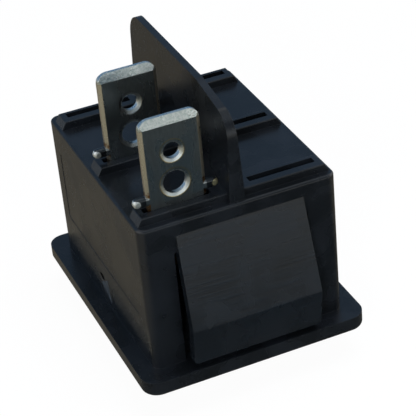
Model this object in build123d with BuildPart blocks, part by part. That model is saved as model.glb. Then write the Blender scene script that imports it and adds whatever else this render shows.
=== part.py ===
# Snap-in rocker switch, single pole, in a housing moulded for two poles.
# X runs across the switch, Y along it, and +Z out of its back, where the tabs stand.
# The origin is the centre of the panel cut-out, in the plane of the bezel's back.
import os
from math import acos, cos, degrees, radians, sin, sqrt

from build123d import *

os.makedirs("parts", exist_ok=True)

# Housing: the body behind the panel
body_width = 21.4
body_length = 26.7
body_height = 16.6
body_corner = 1.0
rear_edge_round = 0.3
side_wall = 1.2
end_wall = 1.2
rear_wall = 2.0

# Housing: the bezel in front of the panel
bezel_overhang_side = 1.8
bezel_overhang_end = 2.15
bezel_thickness = 1.75
bezel_corner = 1.8
bezel_front_round = 0.5

# Housing: slots for the tabs, and the raised bar that each pair of slots is cut in
pole_offset = 5.65
slot_end_setback = 2.35
slot_length = 7.2
rib_height = 0.85
rib_near_margin = 1.385
rib_far_margin = 0.9
rib_end_inset = 0.36
rib_end_slope = 0.5
rib_round = 0.12

# Housing: the wall that stands between the poles
barrier_rise = 10.4
barrier_far_setback = 0.85
barrier_near_setback = 0.35
barrier_top_thickness = 0.75
barrier_foot_thickness = 1.7
barrier_level_end = 5.5
barrier_near_drop = 1.3
barrier_far_round = 2.5
barrier_near_round = 2.6

# Housing: the snap wings on the two short ends
wing_root_drop = 1.5
wing_root_width = 13.8
wing_crease_z = 5.12
wing_crease_depth = 2.75
wing_width = 14.25
wing_lip_z = 0.8
wing_lip_depth = 2.1
wing_thickness = 1.1
wing_corner = 0.5
wing_crease_round = 0.2
wing_slot = 0.15
wing_bridge = 1.9

# Housing: marks moulded in the long sides
panel_end_margin = 2.7
panel_low_z = 5.15
panel_top_margin = 3.15
panel_depth = 0.04
panel_corner = 0.5
dimple_length = 1.3
dimple_width = 0.7
dimple_depth = 0.6
dimple_y = 0.97
dimple_z = 3.02
mark_far_y = 1.35
mark_far_z = 2.2
mark_high_y = -0.7
mark_high_z = 3.4
mark_tip_y = -1.3
mark_tip_z = 0.9
mark_height = 0.08

# Housing: inside
partition_thickness = 1.2
partition_front_z = 6.0
stop_post_width = 4.0
stop_post_depth = 1.5
stop_post_setback = 0.5

# Rocker: a key that tilts by this much to each side of level
pivot_z = 1.6
half_travel = 9.0
trunnion_radius = 1.2
trunnion_reach = 0.8
rocker_side_gap = 0.3
rocker_end_gap = 0.3
rocker_wall = 1.2
rocker_face = 1.4
rocker_end_face = 5.4
rocker_middle_face = 4.1
rocker_skirt = 1.4
rocker_edge_round = 0.45
cheek_length = 6.4
cheek_height = 2.4
tube_radius = 2.6
tube_wall = 0.85
tube_setback = 1.91
tube_floor = 0.5
stop_gap = 0.1

# Tabs, from brass sheet
sheet = 0.8
tab_width = 6.3
tab_reach = 10.64
tab_corner = 1.15
tab_bevel_length = 1.0
tab_bevel_depth = 0.22
tab_side_bevel_width = 0.36
tab_side_bevel_depth = 0.16
catch_hole = 1.8
catch_hole_drop = 3.9
wire_hole = 2.5
wire_hole_drop = 7.4
hole_countersink = 0.36
hole_countersink_angle = 136
ear_reach = 4.5
ear_height = 1.0
ear_lift = 0.5
ear_round = 0.3

# Inner ends of the tabs
shoulder_height = 1.3
shoulder_wall_side = 3.7
shoulder_middle_side = 4.6
fulcrum_width = 5.4
foot_width = 6.3
foot_length = 4.8

# Contacts, and the lever that carries the moving one
lever_tilt = 8.0
lever_sheet = 0.9
lever_width = 4.6
lever_overhang = 1.4
lever_corner = 1.5
cradle_length = 2.2
cradle_drop = 0.1
contact_setback = 2.9
contact_radius = 1.3
contact_dome = 2.6
contact_head = 0.75
contact_shank = 0.8
fixed_contact_radius = 1.5
fixed_contact_head = 0.75
fixed_contact_round = 0.2

# Plunger and its spring
nose_radius = 1.0
plunger_foot = 2.6
plunger_neck = 1.51
spring_room_radius = 1.25
spring_room_roof = 0.8
spring_wire = 0.35
spring_radius = 0.95
spring_turns = 5

# Clearances
fit = 0.05
slot_gap = 0.04
rivet_gap = 0.02
contact_gap = 0.04
nose_gap = 0.1
spring_end_gap = 0.05

# Sizes that follow from those above
half_width = body_width / 2
half_length = body_length / 2
bezel_width = body_width + 2 * bezel_overhang_side
bezel_length = body_length + 2 * bezel_overhang_end
inner_half_width = half_width - side_wall
inner_half_length = half_length - end_wall
rear_inner_z = body_height - rear_wall
rib_top = body_height + rib_height
tab_top = body_height + tab_reach
barrier_top = body_height + barrier_rise
barrier_far_end = half_length - barrier_far_setback
barrier_near_end = half_length - barrier_near_setback
wing_root_z = body_height - wing_root_drop
wing_window_top = wing_root_z - wing_bridge
panel_length = body_length - 2 * panel_end_margin
panel_high_z = body_height - panel_top_margin
slot_pitch = half_length - slot_end_setback
slot_rows = (-slot_pitch, 0.0, slot_pitch)
contact_arm = slot_pitch - contact_setback
lever_arm = contact_arm + lever_overhang
half_sheet = sheet / 2
groove_radius = half_sheet + fit
lever_top = -groove_radius
lever_bottom = lever_top - lever_sheet
contact_crown = lever_top + contact_head
crown_centre = contact_crown - contact_dome
closed = radians(lever_tilt)
contact_rise = contact_arm * sin(closed) + crown_centre * cos(closed) + contact_dome
contact_y = crown_centre * sin(closed) - contact_arm * cos(closed)
fixed_contact_z = rear_inner_z - sheet - fixed_contact_head
lever_z = fixed_contact_z - contact_gap - contact_rise
nose_centre = lever_z + lever_bottom - nose_gap - nose_radius - pivot_z
plunger_body_top = nose_centre - plunger_neck
spring_room_top = plunger_body_top - spring_room_roof
tube_reach = nose_centre - tube_setback
tube_bore = tube_radius - tube_wall
plunger_radius = tube_bore - fit
rocker_half_width = inner_half_width - rocker_side_gap
rocker_radius = inner_half_length - rocker_end_gap

# The rocker's skirt meets the stop posts when the rocker is fully over
skirt_y = sqrt(rocker_radius**2 - rocker_skirt**2)
travel = radians(half_travel)
stop_z = pivot_z + skirt_y * sin(travel) + rocker_skirt * cos(travel) + stop_gap


def turned_frame(origin, angle):
    """Give the plane at origin whose normal leans from +Z towards +Y by angle, in degrees."""
    lean = radians(angle)
    return Plane(origin=origin, x_dir=(1, 0, 0), z_dir=(0, sin(lean), cos(lean)))


def side_view(frame, offset=0.0):
    """Give the plane across a frame's X, whose own axes are the frame's Y and Z."""
    return Plane(
        origin=frame.origin + frame.x_dir * offset, x_dir=frame.y_dir, z_dir=frame.x_dir
    )


def long_side(side):
    """Give the plane of one long side's outer face, with its Y upwards; side is -1 or +1."""
    return Plane(origin=(side * half_width, 0, 0), x_dir=(0, side, 0), z_dir=(side, 0, 0))


level = Plane.XY
pivot_frame = turned_frame((0, 0, pivot_z), half_travel)
tube_frame = turned_frame((-pole_offset, 0, pivot_z), half_travel)
lever_frame = turned_frame((-pole_offset, 0, lever_z), -lever_tilt)


# The barrier: thinner at its top than at its foot, and lower towards its near end
with BuildPart() as barrier:
    with BuildSketch(side_view(level)):
        with BuildLine():
            Polyline(
                (-barrier_near_end, body_height),
                (-barrier_near_end, barrier_top - barrier_near_drop),
                (-barrier_level_end, barrier_top),
                (barrier_far_end, barrier_top),
                (barrier_far_end, body_height),
                close=True,
            )
        make_face()
    extrude(amount=barrier_foot_thickness / 2, both=True)
    ends = barrier.edges().filter_by(Axis.X)
    fillet(ends.group_by(Axis.Y)[-1].sort_by(Axis.Z)[-1], barrier_far_round)
    ends = barrier.edges().filter_by(Axis.X)
    fillet(ends.group_by(Axis.Y)[0].sort_by(Axis.Z)[-1], barrier_near_round)
    with BuildSketch(Plane.XZ):
        with BuildLine():
            Polyline(
                (-barrier_foot_thickness / 2, body_height),
                (-barrier_top_thickness / 2, barrier_top),
                (barrier_top_thickness / 2, barrier_top),
                (barrier_foot_thickness / 2, body_height),
                close=True,
            )
        make_face()
    extrude(amount=body_length, both=True, mode=Mode.INTERSECT)


# The snap wing on the end towards -Y: a tongue that springs from the top of the wall
with BuildPart() as wing:
    wing_rise = wing_root_z - wing_crease_z
    wing_across = wing_thickness * sqrt(wing_rise**2 + wing_crease_depth**2) / wing_rise
    wing_crease_y = -half_length - wing_crease_depth
    wing_lip_y = -half_length - wing_lip_depth
    with BuildSketch(side_view(level)):
        with BuildLine():
            Polyline(
                (-half_length, wing_root_z),
                (wing_crease_y, wing_crease_z),
                (wing_lip_y, wing_lip_z),
                (wing_lip_y + wing_across, wing_lip_z),
                (wing_crease_y + wing_across, wing_crease_z),
                (-half_length + wing_across, wing_root_z),
                close=True,
            )
        make_face()
    extrude(amount=wing_width / 2, both=True)
    fillet(wing.edges().filter_by(Axis.X).sort_by(Axis.Y)[0], wing_crease_round)
    fillet(wing.edges().filter_by(Axis.Y).group_by(Axis.Z)[0], wing_corner)
    with BuildSketch(Plane.XZ):
        with BuildLine():
            Polyline(
                (-wing_width / 2, 0),
                (-wing_width / 2, wing_crease_z),
                (-wing_root_width / 2, wing_root_z),
                (wing_root_width / 2, wing_root_z),
                (wing_width / 2, wing_crease_z),
                (wing_width / 2, 0),
                close=True,
            )
        make_face()
    extrude(amount=body_length, both=True, mode=Mode.INTERSECT)


with BuildPart() as housing:
    with BuildSketch(level):
        RectangleRounded(body_width, body_length, body_corner)
    extrude(amount=body_height)
    fillet(housing.faces().sort_by(Axis.Z)[-1].edges(), rear_edge_round)

    # The bars that each pair of slots is cut in, with sloped ends
    rib_foot = half_width - rib_end_inset
    for row in slot_rows:
        with BuildSketch(Plane.XZ.offset(rib_near_margin - row)):
            with BuildLine():
                Polyline(
                    (-rib_foot, body_height - rear_edge_round),
                    (-rib_foot, body_height),
                    (-rib_foot + rib_end_slope, rib_top),
                    (rib_foot - rib_end_slope, rib_top),
                    (rib_foot, body_height),
                    (rib_foot, body_height - rear_edge_round),
                    close=True,
                )
            make_face()
        extrude(amount=-rib_near_margin - rib_far_margin)
    crests = housing.edges().filter_by_position(Axis.Z, rib_top - rib_round, rib_top + rib_round)
    fillet(crests, rib_round)

    with BuildSketch(level):
        RectangleRounded(bezel_width, bezel_length, bezel_corner)
    extrude(amount=-bezel_thickness)
    fillet(housing.faces().sort_by(Axis.Z)[0].edges(), bezel_front_round)

    # The hollow that the rocker and the contacts sit in
    with BuildSketch(level.offset(-bezel_thickness)):
        Rectangle(2 * inner_half_width, 2 * inner_half_length)
    extrude(amount=bezel_thickness + rear_inner_z, mode=Mode.SUBTRACT)

    # Windows in the end walls, so that the snap wings can bend in
    with BuildSketch(Plane.XZ.offset(-half_length)):
        with Locations((0, wing_window_top / 2)):
            Rectangle(wing_width + 2 * wing_slot, wing_window_top)
    extrude(amount=body_length, mode=Mode.SUBTRACT)

    # The partition between the poles, and the posts that stop the rocker
    with BuildSketch(level.offset(partition_front_z)):
        Rectangle(partition_thickness, 2 * inner_half_length)
    extrude(amount=rear_inner_z - partition_front_z)
    post_y = inner_half_length - stop_post_setback - stop_post_depth / 2
    with BuildSketch(level.offset(stop_z)):
        with Locations((0, -post_y), (0, post_y)):
            Rectangle(stop_post_width, stop_post_depth)
    extrude(amount=rear_inner_z - stop_z)

    # Slots for the tabs, through the rear wall and its bars
    slots = [(side * pole_offset, row) for side in (-1, 1) for row in slot_rows]
    with BuildSketch(level.offset(rear_inner_z)):
        with Locations(*slots):
            Rectangle(slot_length, sheet + 2 * slot_gap)
    extrude(amount=rear_wall + rib_height, mode=Mode.SUBTRACT)

    # On each long side a shallow field, a dimple, and a slightly raised mark beside it
    for side in (-1, 1):
        with BuildSketch(long_side(side)):
            with Locations((0, (panel_low_z + panel_high_z) / 2)):
                RectangleRounded(panel_length, panel_high_z - panel_low_z, panel_corner)
        extrude(amount=-panel_depth, mode=Mode.SUBTRACT)
        with BuildSketch(long_side(side)):
            with BuildLine():
                Polyline(
                    (side * mark_far_y, mark_far_z),
                    (side * mark_high_y, mark_high_z),
                    (side * mark_tip_y, mark_tip_z),
                    close=True,
                )
            make_face()
        extrude(amount=mark_height)
        with BuildSketch(long_side(side).offset(mark_height)):
            with Locations((side * dimple_y, dimple_z)):
                Ellipse(dimple_length / 2, dimple_width / 2)
        extrude(amount=-mark_height - dimple_depth, mode=Mode.SUBTRACT)

    # Blind bores for the rocker's trunnions
    bore_half_length = inner_half_width + trunnion_reach + fit
    with BuildSketch(Plane.YZ.offset(-bore_half_length)):
        with Locations((0, pivot_z)):
            Circle(trunnion_radius + fit)
    extrude(amount=2 * bore_half_length, mode=Mode.SUBTRACT)

    add(barrier.part)
    add(wing.part)
    mirror(wing.part, about=Plane.XZ)

housing.part.label = "housing"


def rocker_section(radius, end_face, middle_face, skirt):
    """Draw the rocker's outline across its pivot: two facets that meet at a low middle."""
    front_y = sqrt(radius**2 - end_face**2)
    back_y = sqrt(radius**2 - skirt**2)
    with BuildSketch(side_view(pivot_frame)) as section:
        with BuildLine():
            Polyline((front_y, -end_face), (0, -middle_face), (-front_y, -end_face))
            ThreePointArc((-front_y, -end_face), (-radius, 0), (-back_y, skirt))
            Line((-back_y, skirt), (back_y, skirt))
            ThreePointArc((back_y, skirt), (radius, 0), (front_y, -end_face))
        make_face()
    return section.sketch


rocker_outside = rocker_section(rocker_radius, rocker_end_face, rocker_middle_face, rocker_skirt)
rocker_inside = rocker_section(
    rocker_radius - rocker_wall,
    rocker_end_face - rocker_face,
    rocker_middle_face - rocker_face,
    cheek_height,
)

# The rocker: a hollow key, drawn in its own turned frame
with BuildPart() as rocker:
    extrude(rocker_outside, amount=rocker_half_width, both=True)
    front = rocker.faces().sort_by(Axis(pivot_frame.origin, pivot_frame.z_dir))[:2]
    rim = front.edges().filter_by(lambda edge: abs(edge.center().Y) > cheek_length / 2)
    fillet(rim, rocker_edge_round)
    extrude(rocker_inside, amount=rocker_half_width - rocker_wall, both=True, mode=Mode.SUBTRACT)

    # A cheek and a trunnion on each side
    for side in (-1, 1):
        with BuildSketch(side_view(pivot_frame, side * (rocker_half_width - rocker_wall))):
            with Locations((0, cheek_height / 2)):
                Trapezoid(cheek_length + 2 * cheek_height, cheek_height, 45)
        extrude(amount=side * rocker_wall)
        with BuildSketch(side_view(pivot_frame, side * (rocker_half_width - rocker_wall))):
            Circle(trunnion_radius)
        extrude(amount=side * (rocker_wall + rocker_side_gap + trunnion_reach))

    # A plunger tube for each pole, of which one is in use
    tube_root = rocker_middle_face - rocker_face / 2
    with BuildSketch(pivot_frame.offset(-tube_root)):
        with Locations((-pole_offset, 0), (pole_offset, 0)):
            Circle(tube_radius)
    extrude(amount=tube_root + tube_reach)
    with BuildSketch(pivot_frame.offset(-tube_floor)):
        with Locations((-pole_offset, 0), (pole_offset, 0)):
            Circle(tube_bore)
    extrude(amount=tube_floor + tube_reach, mode=Mode.SUBTRACT)

rocker.part.label = "rocker"


def tab_ears(far_face, ear_middle):
    """Build the rounded ears of a tab, which are the two ends of one bar across it."""
    with BuildPart() as ears:
        with BuildSketch(far_face):
            with Locations((0, ear_middle)):
                SlotOverall(2 * ear_reach, ear_height)
        extrude(amount=sheet)
        fillet(ears.faces().filter_by(Axis.Y).edges(), ear_round)
    return ears.part


def tab_blade(row):
    """Build a tab from the rear wall's inner face to its tip, in one row of slots."""
    half = tab_width / 2
    face_edge = half - tab_side_bevel_width
    side_edge = half_sheet - tab_side_bevel_depth
    far_face = Plane(origin=(-pole_offset, row + half_sheet, 0), x_dir=(1, 0, 0), z_dir=(0, -1, 0))
    with BuildPart() as blade:
        # The blade, with its long edges bevelled and the corners of its tip rounded
        with BuildSketch(Plane(origin=(-pole_offset, row, rear_inner_z), z_dir=(0, 0, 1))):
            with BuildLine():
                Polyline(
                    (-half, -side_edge),
                    (-face_edge, -half_sheet),
                    (face_edge, -half_sheet),
                    (half, -side_edge),
                    (half, side_edge),
                    (face_edge, half_sheet),
                    (-face_edge, half_sheet),
                    (-half, side_edge),
                    close=True,
                )
            make_face()
        extrude(amount=tab_top - rear_inner_z)
        with BuildSketch(far_face):
            RectangleRounded(tab_width, 2 * tab_top, tab_corner)
        extrude(amount=sheet, mode=Mode.INTERSECT)

        # The tip, bevelled on both faces
        with BuildSketch(Plane(origin=(-pole_offset, row, 0), x_dir=(0, 1, 0), z_dir=(1, 0, 0))):
            with BuildLine():
                Polyline(
                    (-half_sheet, rear_inner_z),
                    (-half_sheet, tab_top - tab_bevel_length),
                    (-half_sheet + tab_bevel_depth, tab_top),
                    (half_sheet - tab_bevel_depth, tab_top),
                    (half_sheet, tab_top - tab_bevel_length),
                    (half_sheet, rear_inner_z),
                    close=True,
                )
            make_face()
        extrude(amount=tab_width, both=True, mode=Mode.INTERSECT)

        # An ear on each side of it, above the slot
        add(tab_ears(far_face, rib_top + ear_lift + ear_height / 2))

        # Holes, countersunk on both faces
        for size, drop in ((catch_hole, catch_hole_drop), (wire_hole, wire_hole_drop)):
            for side in (-1, 1):
                mouth = Plane(
                    origin=(-pole_offset, row + side * half_sheet, tab_top - drop),
                    x_dir=(1, 0, 0),
                    z_dir=(0, side, 0),
                )
                with Locations(mouth):
                    CounterSinkHole(
                        size / 2,
                        size / 2 + hole_countersink,
                        counter_sink_angle=hole_countersink_angle,
                    )
    return blade.part


common_blade = tab_blade(0.0)
contact_blade = tab_blade(-slot_pitch)

# The common tab goes straight in, and the lever rocks on its rounded end
with BuildPart() as common_terminal:
    add(common_blade)
    shoulder_x = -pole_offset + (shoulder_middle_side - shoulder_wall_side) / 2
    with BuildSketch(Plane.XZ.offset(-half_sheet)):
        with Locations((shoulder_x, rear_inner_z - shoulder_height / 2)):
            Rectangle(shoulder_wall_side + shoulder_middle_side, shoulder_height)
    extrude(amount=sheet)
    with BuildSketch(Plane.YZ.offset(-pole_offset)):
        with Locations((0, (rear_inner_z + lever_z) / 2)):
            Rectangle(sheet, rear_inner_z - lever_z)
        with Locations((0, lever_z)):
            Circle(half_sheet)
    extrude(amount=fulcrum_width / 2, both=True)

common_terminal.part.label = "common_terminal"


# The contact tab turns under the rear wall, into a foot that holds the fixed contact
with BuildPart() as contact_terminal:
    add(contact_blade)
    with BuildSketch(level.offset(rear_inner_z)):
        with Locations((-pole_offset, -slot_pitch - half_sheet + foot_length / 2)):
            Rectangle(foot_width, foot_length)
    extrude(amount=-sheet)
    bend = contact_terminal.edges().filter_by(Axis.X).group_by(Axis.Z)[0].sort_by(Axis.Y)[0]
    fillet(bend, half_sheet)
    with BuildSketch(level.offset(rear_inner_z)):
        with Locations((-pole_offset, contact_y)):
            Circle(contact_shank + rivet_gap)
    extrude(amount=-sheet, mode=Mode.SUBTRACT)

contact_terminal.part.label = "contact_terminal"


# The fixed contact: a rivet with a flat face
with BuildPart() as fixed_contact:
    with BuildSketch(level.offset(fixed_contact_z)):
        with Locations((-pole_offset, contact_y)):
            Circle(fixed_contact_radius)
    extrude(amount=fixed_contact_head)
    fillet(fixed_contact.faces().sort_by(Axis.Z)[0].edges(), fixed_contact_round)
    with BuildSketch(level.offset(fixed_contact_z + fixed_contact_head)):
        with Locations((-pole_offset, contact_y)):
            Circle(contact_shank)
    extrude(amount=sheet - rivet_gap)

fixed_contact.part.label = "fixed_contact"


# The lever: a strip with a cradle in the middle, tilted as it rests with the switch off
with BuildPart() as contact_lever:
    with BuildSketch(lever_frame.offset(lever_bottom)):
        RectangleRounded(lever_width, 2 * lever_arm, lever_corner)
    extrude(amount=lever_sheet)
    with BuildSketch(lever_frame.offset(lever_top)):
        Rectangle(lever_width, cradle_length)
    extrude(amount=groove_radius - cradle_drop)
    with BuildSketch(side_view(lever_frame)):
        Circle(groove_radius)
    extrude(amount=lever_width, both=True, mode=Mode.SUBTRACT)
    with BuildSketch(lever_frame.offset(lever_bottom)):
        with Locations((0, -contact_arm)):
            Circle(contact_shank + rivet_gap)
    extrude(amount=lever_sheet, mode=Mode.SUBTRACT)

contact_lever.part.label = "contact_lever"


# The moving contact: a rivet with a domed face
with BuildPart() as moving_contact:
    dome_start = acos(contact_radius / contact_dome)
    dome_edge = crown_centre + contact_dome * sin(dome_start)
    with BuildSketch(side_view(lever_frame)):
        with BuildLine():
            Polyline(
                (-contact_arm, contact_crown),
                (-contact_arm, lever_bottom),
                (-contact_arm + contact_shank, lever_bottom),
                (-contact_arm + contact_shank, lever_top),
                (-contact_arm + contact_radius, lever_top),
                (-contact_arm + contact_radius, dome_edge),
            )
            CenterArc(
                (-contact_arm, crown_centre),
                contact_dome,
                degrees(dome_start),
                90 - degrees(dome_start),
            )
        make_face()
    revolve(axis=Axis(lever_frame.origin - lever_frame.y_dir * contact_arm, lever_frame.z_dir))

moving_contact.part.label = "moving_contact"


# The plunger: hollow below for its spring, with a round nose that rides on the lever
with BuildPart() as plunger:
    with BuildSketch(side_view(tube_frame)):
        with BuildLine():
            Polyline(
                (0, nose_centre + nose_radius),
                (0, spring_room_top),
                (spring_room_radius, spring_room_top),
                (spring_room_radius, plunger_foot),
                (plunger_radius, plunger_foot),
                (plunger_radius, plunger_body_top),
                (nose_radius, nose_centre),
            )
            CenterArc((0, nose_centre), nose_radius, 0, 90)
        make_face()
    revolve(axis=Axis(tube_frame.origin, tube_frame.z_dir))

plunger.part.label = "plunger"


# The plunger's spring, between the tube's floor and the plunger
with BuildPart() as plunger_spring:
    spring_low = spring_end_gap + spring_wire / 2 - tube_floor
    spring_height = spring_room_top - spring_end_gap - spring_wire / 2 - spring_low
    with BuildLine() as coil:
        Helix(
            spring_height / spring_turns,
            spring_height,
            spring_radius,
            center=tube_frame.offset(spring_low).origin,
            direction=tube_frame.z_dir,
        )
    with BuildSketch(Plane(origin=coil.line @ 0, z_dir=coil.line % 0)):
        Circle(spring_wire / 2)
    sweep(is_frenet=True)

plunger_spring.part.label = "plunger_spring"


pieces = (
    housing,
    rocker,
    common_terminal,
    contact_terminal,
    fixed_contact,
    contact_lever,
    moving_contact,
    plunger,
    plunger_spring,
)
for piece in pieces:
    export_step(piece.part, f"parts/{piece.part.label}.step")
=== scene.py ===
"""Looks of a snap-in panel rocker switch, seen from behind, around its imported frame.

Everything is in metres and in the frame's own axes: +Z leaves the back of the switch along
its tabs, Y runs along the bezel, and the origin is the centre of the panel cut-out. A length
whose name ends in _mm is in millimetres, and is turned to metres where it is used.
"""

import logging
import math
from dataclasses import dataclass
from enum import Enum

import bmesh
import bpy
from mathutils import Matrix, Vector


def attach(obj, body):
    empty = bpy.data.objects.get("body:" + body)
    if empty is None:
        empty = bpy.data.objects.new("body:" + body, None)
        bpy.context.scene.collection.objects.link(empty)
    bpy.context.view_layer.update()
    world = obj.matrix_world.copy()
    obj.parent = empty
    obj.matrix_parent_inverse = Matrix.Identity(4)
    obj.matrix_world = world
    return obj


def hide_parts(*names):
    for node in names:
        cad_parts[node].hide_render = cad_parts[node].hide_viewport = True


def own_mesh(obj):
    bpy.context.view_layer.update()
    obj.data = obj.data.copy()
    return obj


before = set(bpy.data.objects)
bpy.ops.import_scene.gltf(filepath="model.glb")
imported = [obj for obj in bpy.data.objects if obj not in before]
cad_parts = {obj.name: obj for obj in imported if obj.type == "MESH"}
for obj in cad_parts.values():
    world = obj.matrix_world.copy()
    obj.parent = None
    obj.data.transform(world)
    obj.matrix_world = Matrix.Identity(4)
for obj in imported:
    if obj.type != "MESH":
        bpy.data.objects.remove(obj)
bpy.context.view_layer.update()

MM = 0.001
WELD_MM = 0.0005
WHITE = "#ffffff"
LOG = logging.getLogger("rocker_switch")

Colour = tuple[float, float, float, float]
Span = tuple[float, float]
Triple = tuple[float, float, float]
Socket = bpy.types.NodeSocket
Shade = Socket | str
Inputs = dict[str | int, object] | list[object] | tuple[object, ...]

# How a mask eases from 0 at the first number of a span to 1 at its second.
EASED = {"interpolation_type": "SMOOTHSTEP"}


class Body(Enum):
    """The body of the frame that the new pieces ride on."""

    ROCKER = "rocker"


class Slot(Enum):
    """The record's material slots of the rocker's nylon and the spring's steel."""

    ROCKER = "rocker_nylon"
    SPRING = "spring_steel"


def metres(lengths_mm: tuple[float, ...]) -> tuple[float, ...]:
    """Turn millimetres into metres."""
    return tuple(length * MM for length in lengths_mm)


def linear(code: str) -> Colour:
    """Turn an sRGB hex value into linear light.

    Args:
        code: The colour as "#rrggbb".

    Returns:
        The linear red, green, blue and an alpha of 1.
    """
    values = [int(code[i : i + 2], 16) / 255 for i in (1, 3, 5)]
    light = [v / 12.92 if v <= 0.04045 else ((v + 0.055) / 1.055) ** 2.4 for v in values]
    return (light[0], light[1], light[2], 1.0)


def add_node(
    tree: bpy.types.NodeTree,
    kind: str,
    inputs: Inputs = (),
    out: str | int = 0,
    **settings: object,
) -> Socket | None:
    """Add a shader node with its settings and its links.

    Args:
        tree: The node tree that gets the node.
        kind: The node's type, without the leading "ShaderNode".
        inputs: What goes into its sockets, in their order or by name or number. Each is an
            output socket to link, a number, a vector, or a colour as a hex value.
        out: The name or number of the output socket that is wanted.
        settings: The node's own properties.

    Returns:
        That output socket, or None where the node has no outputs.
    """
    node = tree.nodes.new("ShaderNode" + kind)
    for name, value in settings.items():
        setattr(node, name, value)
    for key, value in (inputs if isinstance(inputs, dict) else dict(enumerate(inputs))).items():
        if isinstance(value, Socket):
            tree.links.new(value, node.inputs[key])
        else:
            node.inputs[key].default_value = linear(value) if isinstance(value, str) else value
    return node.outputs[out] if len(node.outputs) else None


def seen_itself(tree: bpy.types.NodeTree) -> Socket:
    """Tell the rays that look at the surroundings from those that only gather their light.

    Args:
        tree: The node tree of the world or of a material.

    Returns:
        A mask that is 1 for camera, glossy and transmission rays.
    """
    rays = add_node(tree, "LightPath").node.outputs
    total = rays["Is Camera Ray"]
    for name in ("Is Glossy Ray", "Is Transmission Ray"):
        total = add_node(tree, "Math", (total, rays[name]), operation="MAXIMUM")
    return total


class Recipe:
    """A material under way, with the patterns and masks that the finishes share."""

    NOISE_ROUGHNESS = 0.55
    BEVEL_SAMPLES = 6
    # The likeness of rounded and flat normals, where an edge's mask starts and is full.
    EDGE_LIKENESS = (0.995, 0.8)

    def __init__(self, name: str) -> None:
        """Start an empty node material.

        Args:
            name: The material's name.
        """
        self.material = bpy.data.materials.new(name)
        self.material.use_nodes = True
        self.tree = self.material.node_tree
        self.tree.nodes.clear()
        self.place = self.add("TexCoord", out="Object")

    def add(
        self, kind: str, inputs: Inputs = (), out: str | int = 0, **settings: object
    ) -> Socket | None:
        """Add a node to this material; see add_node."""
        return add_node(self.tree, kind, inputs, out, **settings)

    def overlap(self, first: Socket, *others: Socket | float) -> Socket:
        """Find where several masks show together, or how much of one is left.

        Args:
            first: A mask.
            others: More masks, or shares from 0 to 1.

        Returns:
            The mask of what they have in common.
        """
        for other in others:
            first = self.add("Math", (first, other), operation="MULTIPLY")
        return first

    def paint(self, colour: Shade, *layers: tuple[Socket, Shade]) -> Socket:
        """Lay colours over each other, each where its mask lets it show.

        Args:
            colour: What lies at the bottom, a hex value or a socket.
            layers: Each mask with its colour, from the lowest to the topmost.

        Returns:
            The colour that shows.
        """
        for mask, shade in layers:
            colour = self.add("Mix", {0: mask, 6: colour, 7: shade}, 2, data_type="RGBA")
        return colour

    def relief(self, normal: Socket | None, *layers: tuple[Socket, float, float]) -> Socket:
        """Raise the surface by patterns, one on the other.

        Args:
            normal: The normal to start from, or None for the mesh's own.
            layers: Each pattern with its full height in millimetres, and how much of it shows.

        Returns:
            The new normal.
        """
        for pattern, high_mm, share in layers:
            inputs = {"Strength": share, "Distance": high_mm * MM, "Height": pattern}
            if normal is not None:
                inputs["Normal"] = normal
            normal = self.add("Bump", inputs)
        return normal

    def noise(
        self, size_mm: float, stretch: Triple = (1.0, 1.0, 1.0), detail: float = 2.0
    ) -> Socket:
        """Make a soft random pattern at a real size.

        Args:
            size_mm: The size of one blotch or grain.
            stretch: How many times longer the pattern is along X, Y and Z.
            detail: How many finer layers are added.

        Returns:
            The pattern's strength, around 0.5.
        """
        scale = [1 / (size_mm * MM * times) for times in stretch]
        mapped = self.add("Mapping", {"Vector": self.place, "Scale": scale})
        inputs = {
            "Vector": mapped, "Scale": 1.0, "Detail": detail, "Roughness": self.NOISE_ROUGHNESS,
        }
        return self.add("TexNoise", inputs)

    def close(self, across: tuple[Socket, Socket], spot_mm: Span, reach_mm: float) -> Socket:
        """Find what lies within some reach of a line along an axis.

        Args:
            across: The two coordinates across that line.
            spot_mm: Where the line is in those two coordinates.
            reach_mm: How far from the line the mask goes.

        Returns:
            A mask that is 1 within that reach, and 0 beyond it.
        """
        offs = [
            self.add("Math", (axis, middle), operation="SUBTRACT")
            for axis, middle in zip(across, metres(spot_mm))
        ]
        squares = [self.add("Math", (off, off), operation="MULTIPLY") for off in offs]
        total = self.add("Math", squares, operation="ADD")
        return self.add("Math", (total, (reach_mm * MM) ** 2), operation="LESS_THAN")

    def edges(self, radius_mm: float) -> tuple[Socket, Socket]:
        """Round the shading of sharp edges.

        Args:
            radius_mm: The radius that the edges seem to have.

        Returns:
            The rounded normal, and a mask that is 1 on the edges.
        """
        rounded = self.add("Bevel", {"Radius": radius_mm * MM}, samples=self.BEVEL_SAMPLES)
        flat = self.add("NewGeometry", out="Normal")
        alike = self.add("VectorMath", (rounded, flat), "Value", operation="DOT_PRODUCT")
        return rounded, self.add("MapRange", (alike, *self.EDGE_LIKENESS), **EASED)

    def finish(self, **sockets: object) -> bpy.types.Material:
        """Close the material with a Principled shader.

        Args:
            sockets: The shader's inputs, with _ for a space in their names.

        Returns:
            The finished material.
        """
        inputs = {name.replace("_", " "): value for name, value in sockets.items()}
        self.add("OutputMaterial", {"Surface": self.add("BsdfPrincipled", inputs)})
        return self.material


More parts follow.
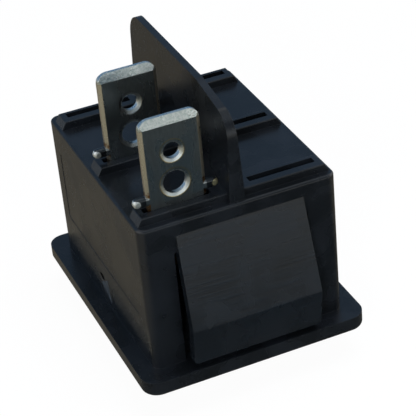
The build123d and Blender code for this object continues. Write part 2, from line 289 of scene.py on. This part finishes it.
@dataclass(frozen=True)
class BlackNylon:
    """Glass-filled nylon 66, injection moulded in black.

    The eye gets a smooth, half-glossy skin with a faint grain from the mould, a little uneven
    in gloss, and paler in short runs along sharp edges, partly scuffed wear and partly a
    painted edge highlight.
    """

    name: str = "moulded_black_nylon_66"
    deep: str = "#0d0f11"
    cloudy: str = "#13161a"
    cloud_mm: float = 4.0
    cloud_span: Span = (0.35, 0.7)
    gloss: Span = (0.22, 0.32)
    gloss_span: Span = (0.3, 0.7)
    # A mould's grain is near 0.05 mm, which is too fine to show, so it is drawn coarser.
    grain_mm: float = 0.22
    grain_high_mm: float = 0.006
    grain_share: float = 0.5
    edge_mm: float = 0.05
    # Paler colour of the edge runs: partly scuffed wear, partly a painted edge highlight.
    rubbed: str = "#363b42"
    scuff_and_highlight_mm: float = 0.45
    scuff_and_highlight_span: Span = (0.52, 0.7)
    scuff_and_highlight_share: float = 0.6
    scuff_rough: float = 0.2
    ior: float = 1.53

    def dressed(self, recipe: Recipe) -> tuple[Socket, Socket, Socket]:
        """Give the colour, roughness and normal that every nylon piece has.

        Args:
            recipe: The material under way.

        Returns:
            The colour, roughness and normal sockets.
        """
        rounded, edge = recipe.edges(self.edge_mm)
        cloud = recipe.noise(self.cloud_mm)
        grain = recipe.noise(self.grain_mm, detail=3.0)
        runs = recipe.noise(self.scuff_and_highlight_mm, detail=4.0)
        # The edge runs are painted paler: partly scuffed wear, partly a painted edge highlight.
        scuff_and_edge_highlight = recipe.overlap(edge, recipe.add("MapRange", (runs, *self.scuff_and_highlight_span), **EASED))
        colour = recipe.paint(
            self.deep,
            (recipe.add("MapRange", (cloud, *self.cloud_span), **EASED), self.cloudy),
            (recipe.overlap(scuff_and_edge_highlight, self.scuff_and_highlight_share), self.rubbed),
        )
        uneven = recipe.add("MapRange", (cloud, *self.gloss_span, *self.gloss), **EASED)
        inputs = (scuff_and_edge_highlight, self.scuff_rough, uneven)
        rough = recipe.add("Math", inputs, operation="MULTIPLY_ADD")
        normal = recipe.relief(rounded, (grain, self.grain_high_mm, self.grain_share))
        return colour, rough, normal

    def build(self) -> bpy.types.Material:
        """Build the material.

        Returns:
            The finished material.
        """
        recipe = Recipe(self.name)
        colour, rough, normal = self.dressed(recipe)
        return recipe.finish(Base_Color=colour, Roughness=rough, Normal=normal, IOR=self.ior)


@dataclass(frozen=True)
class HousingNylon(BlackNylon):
    """The housing's nylon, moulded as the rest is.

    It adds the fine drag lines that the mould leaves across the snap wings, a faint paler,
    warm band low on the long sides that is a painted reflection, a painted reflection of the
    cool light above on their raised marks, and painted shade, near black, in their dimples.
    The wings, sides, marks and pits are told apart by their distance from the middle.
    """

    name: str = "moulded_black_nylon_66_housing"
    low_mm: float = 0.4
    wing_from_mm: float = 13.42
    dragged: str = "#0e151b"
    drag_mm: float = 0.2
    drag_stretch: Triple = (26.0, 1.0, 1.0)
    drag_span: Span = (0.3, 0.75)
    drag_high_mm: float = 0.016
    drag_share: float = 0.7
    side_from_mm: float = 10.62
    # Painted reflection: a faint paler, warm band low on the long sides, with the heights where
    # it fades in and out.
    side_band_reflection: str = "#2b2a27"
    side_band_low_mm: Span = (1.2, 2.2)
    side_band_top_mm: Span = (5.6, 3.6)
    # Painted reflection of the cool light above on the raised marks.
    raised_mark_reflection: str = "#343b42"
    mark_from_mm: float = 10.73
    # Painted shade: the dimples are painted near black for the shade in their depth.
    pit_shade: str = "#010101"
    pit_mm: Span = (9.9, 10.68)
    dimple_mm: Span = (0.97, 3.02)
    dimple_reach_mm: float = 0.72

    def build(self) -> bpy.types.Material:
        """Build the material.

        Returns:
            The finished material.
        """
        recipe = Recipe(self.name)
        colour, rough, normal = self.dressed(recipe)
        x, y, z = recipe.add("SeparateXYZ", (recipe.place,)).node.outputs
        aside, along = (recipe.add("Math", (axis,), operation="ABSOLUTE") for axis in (x, y))
        above, wing, side, raised, bottom = (
            recipe.add("Math", (value, from_mm * MM), operation="GREATER_THAN")
            for value, from_mm in (
                (z, self.low_mm),
                (along, self.wing_from_mm),
                (aside, self.side_from_mm),
                (aside, self.mark_from_mm),
                (aside, self.pit_mm[0]),
            )
        )
        wing = recipe.overlap(wing, above)
        drag = recipe.noise(self.drag_mm, self.drag_stretch, 4.0)
        lines = recipe.add("MapRange", (drag, *self.drag_span), **EASED)
        # The heights of the painted reflection's band.
        side_band_reflection = (
            recipe.add("MapRange", (z, *metres(span)), **EASED)
            for span in (self.side_band_low_mm, self.side_band_top_mm)
        )
        sunk = recipe.add("Math", (aside, self.pit_mm[1] * MM), operation="LESS_THAN")
        dimple = recipe.close((y, z), self.dimple_mm, self.dimple_reach_mm)
        # The painted shade in the dimples.
        pit_shade = recipe.overlap(sunk, bottom, dimple)
        colour = recipe.paint(
            colour,
            (recipe.overlap(wing, lines), self.dragged),
            (recipe.overlap(side, *side_band_reflection), self.side_band_reflection),
            (recipe.overlap(raised, above), self.raised_mark_reflection),
            (pit_shade, self.pit_shade),
        )
        rough = recipe.add("Math", (rough, pit_shade), operation="MAXIMUM")
        scored = recipe.overlap(drag, wing)
        normal = recipe.relief(normal, (scored, self.drag_high_mm, self.drag_share))
        return recipe.finish(Base_Color=colour, Roughness=rough, Normal=normal, IOR=self.ior)


@dataclass(frozen=True)
class Hole:
    """A countersunk hole in both tabs: its height, its radius and that of its mouth."""

    height_mm: float
    bore_mm: float
    mouth_mm: float


@dataclass(frozen=True)
class TinnedBrass:
    """Brass strip, tin plated, then stamped and coined.

    The eye gets grey tin with soft smears on the faces, creamy rolled edges that turn to
    copper-brown bare brass low down, a bright grained tip, countersinks with a painted
    highlight on their lower right, with tan rims on the near tab, painted highlights on the
    edges, and little lugs in a dull grey that is a painted reflection of dim surroundings,
    whose rounded ends carry painted highlights, warm on the right as a painted reflection.
    """

    name: str = "tin_plated_stamped_brass"
    centre_x_mm: float = -5.65
    edge_mm: float = 0.09
    tin: str = "#c3c9c8"
    tarnish: str = "#959b9b"
    smear_mm: float = 1.6
    smear_stretch: Triple = (1.0, 1.0, 2.5)
    smear_span: Span = (0.35, 0.7)
    rough_span: Span = (0.24, 0.36)
    # Faces whose normal leans this far to the side are the strip's cut edges.
    rolled: str = "#e6e0d0"
    rolled_lean: Span = (0.25, 0.38)
    bare: str = "#93683c"
    bare_mm: float = 0.5
    bare_span: Span = (0.3, 0.6)
    bare_height_mm: Span = (19.6, 19.4)
    # The tip's colours; the brighter one also paints the highlights on the edges, countersinks
    # and lug ends.
    # The coined grain is finer than this, and is drawn coarse enough to show.
    coined_and_glint: str = "#f2f7f5"
    coined_low: str = "#d3dfdc"
    coined_grain_mm: float = 0.24
    coined_span: Span = (0.35, 0.65)
    coined_high_mm: float = 0.03
    coined_share: float = 0.7
    coined_height_mm: Span = (26.22, 26.26)
    # The lines that rolling leaves are finer too.
    line_mm: float = 0.12
    line_stretch: Triple = (1.0, 1.0, 6.0)
    line_high_mm: float = 0.004
    line_share: float = 0.4
    # How much of the painted highlight the edges get.
    glint_share: float = 0.25
    holes: tuple[Hole, ...] = (Hole(23.34, 0.9, 1.26), Hole(19.84, 1.25, 1.61))
    dish_inset_mm: float = 0.06
    shine_slope: float = 0.8
    shine_from: Span = (0.75, 1.25)
    tan: str = "#d8c79c"
    rim_mm: float = 0.1
    rim_share: float = 0.75
    near_tab_mm: float = -5.0
    # Painted reflection: the lugs are painted a dull grey for the dim surroundings that they
    # mirror.
    lug_painted_reflection: str = "#54585b"
    # Painted reflection: the right lug ends are painted warm, for the warm light that they
    # mirror.
    lug_end_warm_reflection: str = "#d8cfa8"
    ear_from_mm: float = 3.2
    # Painted highlights: a bright spot on each lug's rounded end, with its place, reach and
    # roughness.
    lug_end_highlight_mm: Span = (4.17, 18.45)
    lug_end_highlight_reach_mm: float = 0.4
    lug_end_highlight_rough: float = 0.2

    def strip(
        self, recipe: Recipe, cloud: Socket, grit: Socket, height: Socket, tip: Socket
    ) -> Socket:
        """Paint the plain strip: its faces, its cut edges and its coined tip.

        Args:
            recipe: The material under way.
            cloud: The mask of the smears.
            grit: The pattern of the coined grain.
            height: The Z coordinate.
            tip: The mask of the coined tip.

        Returns:
            The colour so far.
        """
        lean = recipe.add("SeparateXYZ", (recipe.place.node.outputs["Normal"],), "X")
        lean = recipe.add("Math", (lean,), operation="ABSOLUTE")
        side = recipe.add("MapRange", (lean, *self.rolled_lean), **EASED)
        low = recipe.add("MapRange", (height, *metres(self.bare_height_mm)), **EASED)
        patchy = recipe.add("MapRange", (recipe.noise(self.bare_mm), *self.bare_span), **EASED)
        grains = recipe.add("MapRange", (grit, *self.coined_span), **EASED)
        return recipe.paint(
            self.tin,
            (cloud, self.tarnish),
            (side, self.rolled),
            (recipe.overlap(low, patchy, side), self.bare),
            (tip, recipe.paint(self.coined_low, (grains, self.coined_and_glint))),
        )

    def pierce(
        self, recipe: Recipe, colour: Socket, glint: Socket, place: tuple[Socket, ...]
    ) -> Socket:
        """Paint the countersinks, and the glints on them and on the edges.

        Args:
            recipe: The material under way.
            colour: The colour so far.
            glint: The mask of the glints so far.
            place: The X, Y and Z coordinates.

        Returns:
            The colour so far.
        """
        x, y, z = place
        near = recipe.add("Math", (y, self.near_tab_mm * MM), operation="LESS_THAN")
        right = recipe.add("Math", (x, self.centre_x_mm * MM), operation="SUBTRACT")
        for hole in self.holes:
            spot = (self.centre_x_mm, hole.height_mm)
            rim = recipe.close((x, z), spot, hole.mouth_mm + self.rim_mm)
            dish = recipe.close((x, z), spot, hole.mouth_mm - self.dish_inset_mm)
            stain = recipe.overlap(rim, near, self.rim_share)
            colour = recipe.paint(colour, (stain, self.tan), (dish, self.tin))
            # Painted highlight: the lower right of each countersink is painted bright.
            below = recipe.add("Math", (hole.height_mm * MM, z), operation="SUBTRACT")
            inputs = (below, self.shine_slope, right)
            lean = recipe.add("Math", inputs, operation="MULTIPLY_ADD")
            span = [share * hole.bore_mm * MM for share in self.shine_from]
            shine = recipe.overlap(dish, recipe.add("MapRange", (lean, *span), **EASED))
            glint = recipe.add("Math", (glint, shine), operation="MAXIMUM")
        return recipe.paint(colour, (glint, self.coined_and_glint))

    def build(self) -> bpy.types.Material:
        """Build the material.

        Returns:
            The finished material.
        """
        recipe = Recipe(self.name)
        x, y, z = recipe.add("SeparateXYZ", (recipe.place,)).node.outputs
        rounded, edge = recipe.edges(self.edge_mm)
        smears = recipe.noise(self.smear_mm, self.smear_stretch, 4.0)
        cloud = recipe.add("MapRange", (smears, *self.smear_span), **EASED)
        grit = recipe.noise(self.coined_grain_mm, detail=3.0)
        tip = recipe.add("MapRange", (z, *metres(self.coined_height_mm)), **EASED)
        colour = self.strip(recipe, cloud, grit, z, tip)
        colour = self.pierce(recipe, colour, recipe.overlap(edge, self.glint_share), (x, y, z))

        centre = self.centre_x_mm * MM
        off = recipe.add("Math", (x, centre), operation="SUBTRACT")
        off = recipe.add("Math", (off,), operation="ABSOLUTE")
        # The lugs get their painted reflection; their ends get a painted highlight, warm on the
        # right.
        ear = recipe.add("Math", (off, self.ear_from_mm * MM), operation="GREATER_THAN")
        lug_end_highlight = recipe.close((off, z), self.lug_end_highlight_mm, self.lug_end_highlight_reach_mm)
        right = recipe.add("Math", (x, centre), operation="GREATER_THAN")
        shade = recipe.paint(self.coined_and_glint, (right, self.lug_end_warm_reflection))
        colour = recipe.paint(colour, (ear, self.lug_painted_reflection), (lug_end_highlight, shade))

        smeared = recipe.add("MapRange", (cloud, 0.0, 1.0, *self.rough_span))
        inputs = (lug_end_highlight, self.lug_end_highlight_rough, smeared)
        rough = recipe.add("Math", inputs, operation="MULTIPLY_ADD")
        lines = recipe.noise(self.line_mm, self.line_stretch)
        normal = recipe.relief(
            rounded,
            (recipe.overlap(grit, tip), self.coined_high_mm, self.coined_share),
            (lines, self.line_high_mm, self.line_share),
        )
        return recipe.finish(Base_Color=colour, Roughness=rough, Normal=normal, Metallic=1.0)


@dataclass(frozen=True)
class BareMetal:
    """A bare metal: its clean colour, the darker colour of its tarnish, and its gloss.

    Its edges are rubbed clean, and fine lines from drawing or stamping break up its shine.
    """

    name: str
    clean: str
    dull: str
    rough: Span
    blotch_mm: float = 1.2
    blotch_span: Span = (0.35, 0.7)
    edge_mm: float = 0.06
    edge_share: float = 0.5
    line_mm: float = 0.1
    line_high_mm: float = 0.006
    line_share: float = 0.5

    def build(self) -> bpy.types.Material:
        """Build the material.

        Returns:
            The finished material.
        """
        recipe = Recipe(self.name)
        rounded, edge = recipe.edges(self.edge_mm)
        blotches = recipe.noise(self.blotch_mm, detail=3.0)
        cloud = recipe.add("MapRange", (blotches, *self.blotch_span), **EASED)
        rubbed = recipe.overlap(edge, self.edge_share)
        colour = recipe.paint(self.clean, (cloud, self.dull), (rubbed, self.clean))
        rough = recipe.add("MapRange", (cloud, 0.0, 1.0, *self.rough))
        lines = recipe.noise(self.line_mm)
        normal = recipe.relief(rounded, (lines, self.line_high_mm, self.line_share))
        return recipe.finish(Base_Color=colour, Roughness=rough, Normal=normal, Metallic=1.0)


@dataclass(frozen=True)
class NaturalNylon:
    """Nylon without a pigment, moulded.

    The eye gets a smooth ivory that lets a little light in.
    """

    name: str = "moulded_natural_nylon"
    pale: str = "#d8d3c2"
    warm: str = "#c9c0a6"
    cloud_mm: float = 1.5
    cloud_span: Span = (0.3, 0.7)
    edge_mm: float = 0.06
    grain_mm: float = 0.2
    grain_high_mm: float = 0.006
    grain_share: float = 0.5
    rough: float = 0.34
    ior: float = 1.53
    see_in: float = 0.15
    see_in_mm: float = 0.6

    def build(self) -> bpy.types.Material:
        """Build the material.

        Returns:
            The finished material.
        """
        recipe = Recipe(self.name)
        rounded, _ = recipe.edges(self.edge_mm)
        cloud = recipe.noise(self.cloud_mm)
        share = recipe.add("MapRange", (cloud, *self.cloud_span), **EASED)
        grain = recipe.noise(self.grain_mm)
        return recipe.finish(
            Base_Color=recipe.paint(self.pale, (share, self.warm)),
            Roughness=self.rough,
            Normal=recipe.relief(rounded, (grain, self.grain_high_mm, self.grain_share)),
            IOR=self.ior,
            Subsurface_Weight=self.see_in,
            Subsurface_Scale=self.see_in_mm * MM,
        )


@dataclass(frozen=True)
class PadInk:
    """Two-part ink, pad printed.

    The eye gets a flat off-white, a little thin in places, with a slightly ragged gloss.
    """

    name: str = "pad_printed_white_ink"
    white: str = "#d9d8d2"
    thin: str = "#b9b8b3"
    cloud_mm: float = 0.35
    cloud_span: Span = (0.35, 0.7)
    rough: Span = (0.45, 0.6)
    grain_mm: float = 0.15
    grain_high_mm: float = 0.005
    grain_share: float = 0.6
    ior: float = 1.5

    def build(self) -> bpy.types.Material:
        """Build the material.

        Returns:
            The finished material.
        """
        recipe = Recipe(self.name)
        patches = recipe.noise(self.cloud_mm, detail=3.0)
        cloud = recipe.add("MapRange", (patches, *self.cloud_span), **EASED)
        colour = recipe.paint(self.white, (cloud, self.thin))
        rough = recipe.add("MapRange", (cloud, 0.0, 1.0, *self.rough))
        grain = recipe.noise(self.grain_mm)
        normal = recipe.relief(None, (grain, self.grain_high_mm, self.grain_share))
        return recipe.finish(Base_Color=colour, Roughness=rough, Normal=normal, IOR=self.ior)


def dress(node: str, material: bpy.types.Material) -> None:
    """Give a CAD node its material.

    Args:
        node: The node's name.
        material: What it is made of.
    """
    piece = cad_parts[node]
    piece.data.materials.clear()
    piece.data.materials.append(material)
    LOG.info("dressed %s in %s", node, material.name)


def place_piece(
    shape: bmesh.types.BMesh, name: str, material: bpy.types.Material, body: Body
) -> bpy.types.Object:
    """Turn a finished mesh into a piece that rides on a body.

    Args:
        shape: The mesh, already in its place; it is freed.
        name: The piece's name.
        material: What it is made of.
        body: The body it rides on.

    Returns:
        The new piece.
    """
    bmesh.ops.remove_doubles(shape, verts=shape.verts, dist=WELD_MM * MM)
    bmesh.ops.recalc_face_normals(shape, faces=shape.faces)
    mesh = bpy.data.meshes.new(name)
    shape.to_mesh(mesh)
    shape.free()
    mesh.materials.append(material)
    piece = bpy.data.objects.new(name, mesh)
    bpy.context.scene.collection.objects.link(piece)
    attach(piece, body.value)
    LOG.info("made %s, %d faces, on %s", name, len(mesh.polygons), body.value)
    return piece


@dataclass
class Housing:
    """The one-piece housing: body, bezel, bars, wall and snap wings."""

    nylon: HousingNylon = HousingNylon()

    def build(self) -> None:
        """Dress the housing."""
        dress("housing", self.nylon.build())


@dataclass
class Rocker:
    """The rocker key, with a printed bar and ring on its two facets.

    The sizes are in the key's own frame: its pivot, its lean, and the depth of its front
    below the pivot at the middle and at the ends.
    """

    pivot_mm: float = 1.6
    lean_deg: float = 9.0
    radius_mm: float = 11.85
    end_face_mm: float = 5.4
    middle_face_mm: float = 4.1
    mark_at_mm: float = 6.2
    mark_length_mm: float = 3.6
    line_mm: float = 0.55
    ink_mm: float = 0.03
    corner_mm: float = 0.15
    corner_segments: int = 3
    ring_steps: int = 48
    nylon: BlackNylon = BlackNylon("moulded_black_nylon_66_rocker", gloss=(0.18, 0.28))
    ink: PadInk = PadInk()

    def facet(self, side: int) -> Matrix:
        """Give the place of a printed mark on one facet.

        Args:
            side: -1 for the facet towards -Y, +1 for the other.

        Returns:
            The matrix whose Z leaves the facet and whose X runs across the rocker.
        """
        end_y = math.sqrt(self.radius_mm**2 - self.end_face_mm**2)
        slope = (self.end_face_mm - self.middle_face_mm) / end_y
        along = Vector((0, side, -slope)).normalized()
        out = Vector((1, 0, 0)).cross(along) * side
        out = out if out.z < 0 else -out
        across = along.cross(out)
        depth = self.middle_face_mm + slope * self.mark_at_mm
        origin = Vector((0, side * self.mark_at_mm, -depth))
        turn = Matrix((across, along, out)).transposed().to_4x4()
        local = Matrix.Translation(origin * MM) @ turn
        lean = Matrix.Rotation(-math.radians(self.lean_deg), 4, "X")
        return Matrix.Translation((0, 0, self.pivot_mm * MM)) @ lean @ local

    def bar(self) -> bmesh.types.BMesh:
        """Build the bar that marks the on side.

        Returns:
            The bar's mesh, on its facet.
        """
        shape = bmesh.new()
        high = self.ink_mm * MM
        size = (self.line_mm * MM, self.mark_length_mm * MM, 2 * high)
        bmesh.ops.create_cube(shape, size=1.0, matrix=Matrix.Diagonal((*size, 1)))
        ends = {edge: [vert.co.z for vert in edge.verts] for edge in shape.edges}
        upright = [edge for edge, (low, top) in ends.items() if abs(low - top) > high]
        bmesh.ops.bevel(
            shape, geom=upright, offset=self.corner_mm * MM, segments=self.corner_segments,
            profile=0.5, affect="EDGES", material=-1,
        )
        bmesh.ops.transform(shape, matrix=self.facet(1), verts=shape.verts)
        return shape

    def ring(self) -> bmesh.types.BMesh:
        """Build the ring that marks the off side.

        Returns:
            The ring's mesh, on its facet.
        """
        shape = bmesh.new()
        outer = self.mark_length_mm / 2 * MM
        inner = outer - self.line_mm * MM
        high = self.ink_mm * MM
        corners = [(inner, 0, -high), (outer, 0, -high), (outer, 0, high), (inner, 0, high)]
        verts = [shape.verts.new(corner) for corner in corners]
        edges = [shape.edges.new((verts[i], verts[(i + 1) % 4])) for i in range(4)]
        bmesh.ops.spin(
            shape, geom=verts + edges, cent=(0, 0, 0), axis=(0, 0, 1), angle=math.tau,
            steps=self.ring_steps, use_merge=True,
        )
        bmesh.ops.transform(shape, matrix=self.facet(-1), verts=shape.verts)
        return shape

    def build(self) -> None:
        """Dress the rocker and print its marks."""
        dress("rocker", self.nylon.build())
        ink = self.ink.build()
        place_piece(self.bar(), "mark_on", ink, Body.ROCKER)
        place_piece(self.ring(), "mark_off", ink, Body.ROCKER)


@dataclass
class Terminals:
    """The two tabs and the fixed contact that one of them carries."""

    brass: TinnedBrass = TinnedBrass()
    # Silver alloy, headed as a rivet: a soft white shine with a grey-yellow cast in patches.
    silver: BareMetal = BareMetal("silver_alloy_rivet", "#dedcd6", "#a9a59c", (0.24, 0.39))

    def build(self) -> bpy.types.Material:
        """Dress the tabs and the fixed contact.

        Returns:
            The contacts' silver, for the moving one.
        """
        tabs = self.brass.build()
        dress("common_terminal", tabs)
        dress("contact_terminal", tabs)
        silver = self.silver.build()
        dress("fixed_contact", silver)
        return silver


@dataclass
class Mechanism:
    """The lever with its contact, and the plunger with its spring.

    The spring's piece takes the place of its node, which is hidden. The real spring shortens
    as the plunger is pushed in, and its ends are given along the plunger's slide.
    """

    slide: Triple = (0.0, -0.156434, -0.987688)
    held_end_mm: float = -1.133
    free_end_mm: float = -6.728
    stroke_mm: float = 0.6
    # Brass strip, stamped and left bare: warm gold, browned in patches.
    brass: BareMetal = BareMetal("stamped_bare_brass", "#c9a05a", "#8f6a35", (0.3, 0.45))
    # Spring steel, drawn to a wire: a bright cool grey with short darker runs.
    steel: BareMetal = BareMetal("drawn_spring_steel", "#a4a5a8", "#74757a", (0.26, 0.41), 0.5)
    nylon: NaturalNylon = NaturalNylon()

    def coil(self, steel: bpy.types.Material) -> None:
        """Make the spring's piece from a smooth-shaded copy of its node, and hide the node.

        Args:
            steel: The spring's material.
        """
        shape = bmesh.new()
        shape.from_mesh(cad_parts["plunger_spring"].data)
        for face in shape.faces:
            face.smooth = True
        coil = place_piece(shape, "plunger_coil", steel, Body.ROCKER)
        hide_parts("plunger_spring")
        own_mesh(coil)

    def build(self, silver: bpy.types.Material) -> None:
        """Dress the lever, its contact and the plunger, and make the spring.

        Args:
            silver: The contacts' material.
        """
        dress("contact_lever", self.brass.build())
        dress("moving_contact", silver)
        dress("plunger", self.nylon.build())
        steel = self.steel.build()
        dress("plunger_spring", steel)
        self.coil(steel)


@dataclass(frozen=True)
class Board:
    """A glowing board that only the gloss of the switch sees, as a photographer's flag.

    It shows one colour, or fades upwards into a second one.
    """

    name: str
    size_mm: Span
    centre_mm: Triple
    colour: str
    upper: str | None = None
    fade_mm: Span = (0.0, 0.0)
    standing: bool = True

    def place(self) -> Matrix:
        """Give the matrix that stands the board up, or leaves it lying, at its centre."""
        turn = Matrix.Rotation(math.radians(90 if self.standing else 0), 4, "X")
        return Matrix.Translation(metres(self.centre_mm)) @ turn

    def shown(self, recipe: Recipe) -> Shade:
        """Give the colour that the board shows.

        Args:
            recipe: The board's material under way.

        Returns:
            A hex value or a socket.
        """
        if self.upper is None:
            return self.colour
        height = recipe.add("SeparateXYZ", (recipe.place,), "Z")
        share = recipe.add("MapRange", (height, *metres(self.fade_mm)), **EASED)
        return recipe.paint(self.colour, (share, self.upper))


@dataclass(frozen=True)
class FloorBoard(Board):
    """The board on the floor around the switch.

    It lies just above the floor, and is warm behind, cool in front, paler at both sides of
    the front, and near white far off.
    """

    front: str = "#2a353c"
    front_mm: Span = (5.0, -30.0)
    patch: str = "#8f8b7c"
    patch_centre_mm: float = 5.0
    patch_aside_mm: Span = (23.0, 39.0)
    patch_front_mm: Span = (0.0, -20.0)
    far: str = "#f6f9f8"
    far_mm: Span = (220.0, 340.0)

    def shown(self, recipe: Recipe) -> Shade:
        """Give the colour that the board shows.

        Args:
            recipe: The board's material under way.

        Returns:
            The colour's socket.
        """
        x, y, _ = recipe.add("SeparateXYZ", (recipe.place,)).node.outputs
        squares = [recipe.add("Math", (axis, axis), operation="MULTIPLY") for axis in (x, y)]
        off = recipe.add("Math", squares, operation="ADD")
        off = recipe.add("Math", (off,), operation="SQRT")
        aside = recipe.add("Math", (x, self.patch_centre_mm * MM), operation="SUBTRACT")
        aside = recipe.add("Math", (aside,), operation="ABSOLUTE")
        front, side, ahead, far = (
            recipe.add("MapRange", (value, *metres(span)), **EASED)
            for value, span in (
                (y, self.front_mm),
                (aside, self.patch_aside_mm),
                (y, self.patch_front_mm),
                (off, self.far_mm),
            )
        )
        patches = recipe.overlap(side, ahead)
        return recipe.paint(
            self.colour, (front, self.front), (patches, self.patch), (far, self.far)
        )


@dataclass(frozen=True)
class Lamp:
    """A square soft lamp: its name, place, length of a side, power in watts and colour."""

    name: str
    place_mm: Triple
    size_mm: float
    power: float
    colour: str


@dataclass
class Studio:
    """A pale floor, soft lamps, the flags and the camera at the picture's angle."""

    floor_z_mm: float = -5.5
    floor_size_mm: float = 6000.0
    paper: str = "#e9e9e6"
    # How much of the floor's white is its own; the rest keeps the switch's soft shadow.
    floor_share: float = 0.96
    sky: str = "#dfe6ee"
    sky_strength: float = 0.45
    azimuth_deg: float = -20.640
    elevation_deg: float = 32.390
    roll_deg: float = -5.607
    distance_mm: float = 176.360
    target_mm: Triple = (1.769, 0.139, 8.0)
    focal_px: float = 1643.0
    image_px: float = 416.0
    sensor_mm: float = 36.0
    clip_m: Span = (0.005, 20.0)
    lamps_aim_mm: Triple = (0.0, 0.0, 10.0)
    lamps: tuple[Lamp, ...] = (
        Lamp("key", (-200, -300, 180), 60, 0.85, "#eef4ff"),
        Lamp("top", (60, -60, 420), 260, 1.6, "#eef4ff"),
        Lamp("front", (160, -360, 200), 120, 0.3, WHITE),
    )
    boards: tuple[Board, ...] = (
        FloorBoard("floor_flag", (1200, 1200), (0, 0, -5.45), "#7b766a", standing=False),
        Board("back_flag", (1300, 700), (50, 400, 290), "#627c98"),
        Board("front_flag", (1600, 1000), (50, -600, 440), "#dfe5e7", "#4a5158", (80, 330)),
        Board("top_flag", (1100, 900), (0, -100, 800), "#a4aeb6", standing=False),
    )

    def camera(self) -> None:
        """Set up the camera."""
        az, el = math.radians(self.azimuth_deg), math.radians(self.elevation_deg)
        back = Vector((math.sin(az) * math.cos(el), -math.cos(az) * math.cos(el), math.sin(el)))
        right = (-back).cross(Vector((0, 0, 1))).normalized()
        up = right.cross(-back)
        roll = math.radians(self.roll_deg)
        across = math.cos(roll) * right + math.sin(roll) * up
        upward = -math.sin(roll) * right + math.cos(roll) * up
        data = bpy.data.cameras.new("camera")
        data.sensor_width = self.sensor_mm
        data.lens = self.focal_px / self.image_px * self.sensor_mm
        data.clip_start, data.clip_end = self.clip_m
        camera = bpy.data.objects.new("camera", data)
        bpy.context.scene.collection.objects.link(camera)
        turn = Matrix((across, upward, back)).transposed().to_4x4()
        eye = (Vector(self.target_mm) + back * self.distance_mm) * MM
        camera.matrix_world = Matrix.Translation(eye) @ turn
        bpy.context.scene.camera = camera

    def hang(self, lamp: Lamp) -> None:
        """Hang a lamp that points at the middle of the switch, and doesn't show in gloss.

        Args:
            lamp: The lamp.
        """
        data = bpy.data.lights.new(lamp.name, "AREA")
        data.shape = "SQUARE"
        data.size = lamp.size_mm * MM
        data.energy = lamp.power
        data.color = linear(lamp.colour)[:3]
        light = bpy.data.objects.new(lamp.name, data)
        bpy.context.scene.collection.objects.link(light)
        light.visible_glossy = False
        place = Vector(lamp.place_mm) * MM
        aim = (Vector(metres(self.lamps_aim_mm)) - place).to_track_quat("-Z", "Y")
        light.matrix_world = Matrix.Translation(place) @ aim.to_matrix().to_4x4()

    def world(self) -> None:
        """Make the surroundings white where they are seen, and a soft grey as light."""
        world = bpy.data.worlds.new("studio")
        bpy.context.scene.world = world
        world.use_nodes = True
        tree = world.node_tree
        tree.nodes.clear()
        soft = add_node(tree, "Background", (self.sky, self.sky_strength))
        white = add_node(tree, "Background", (WHITE, 1.0))
        mix = add_node(tree, "MixShader", (seen_itself(tree), soft, white))
        add_node(tree, "OutputWorld", {"Surface": mix})

    def sheet(
        self, name: str, size_mm: Span, place: Matrix, material: bpy.types.Material
    ) -> bpy.types.Object:
        """Add a flat sheet that isn't part of the switch.

        Args:
            name: The sheet's name.
            size_mm: Its width and length.
            place: Where it is, in metres.
            material: What it is made of.

        Returns:
            The sheet.
        """
        shape = bmesh.new()
        bmesh.ops.create_grid(shape, x_segments=1, y_segments=1, size=0.5)
        bmesh.ops.scale(shape, vec=(*metres(size_mm), 1), verts=shape.verts)
        bmesh.ops.transform(shape, matrix=place, verts=shape.verts)
        mesh = bpy.data.meshes.new(name)
        shape.to_mesh(mesh)
        shape.free()
        mesh.materials.append(material)
        sheet = bpy.data.objects.new(name, mesh)
        bpy.context.scene.collection.objects.link(sheet)
        return sheet

    def floor(self) -> None:
        """Lay the floor: white where it is seen from above, and clear from below."""
        recipe = Recipe("white_paper_sweep")
        share = recipe.overlap(seen_itself(recipe.tree), self.floor_share)
        paper = recipe.add("BsdfDiffuse", (self.paper,))
        white = recipe.add("Emission", (WHITE, 1.0))
        top = recipe.add("MixShader", (share, paper, white))
        below = recipe.add("NewGeometry", out="Backfacing")
        both = recipe.add("MixShader", (below, top, recipe.add("BsdfTransparent")))
        recipe.add("OutputMaterial", {"Surface": both})
        place = Matrix.Translation((0, 0, self.floor_z_mm * MM))
        self.sheet("floor", (self.floor_size_mm, self.floor_size_mm), place, recipe.material)

    def flag(self, board: Board) -> None:
        """Set up a board so that only gloss sees it.

        Args:
            board: The board.
        """
        recipe = Recipe(board.name + "_board")
        glow = recipe.add("Emission", (board.shown(recipe), 1.0))
        recipe.add("OutputMaterial", {"Surface": glow})
        sheet = self.sheet(board.name, board.size_mm, board.place(), recipe.material)
        sheet.visible_camera = False
        sheet.visible_diffuse = False
        sheet.visible_transmission = False
        sheet.visible_shadow = False
        sheet.visible_volume_scatter = False

    def build(self) -> None:
        """Build the whole studio."""
        self.camera()
        self.world()
        self.floor()
        for board in self.boards:
            self.flag(board)
        for lamp in self.lamps:
            self.hang(lamp)


def main() -> None:
    """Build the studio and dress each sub-assembly."""
    logging.basicConfig(level=logging.INFO, format="%(name)s: %(message)s")
    bpy.context.scene.view_settings.view_transform = "Standard"
    Studio().build()
    Housing().build()
    Rocker().build()
    silver = Terminals().build()
    Mechanism().build(silver)


if __name__ == "__main__":
    main()
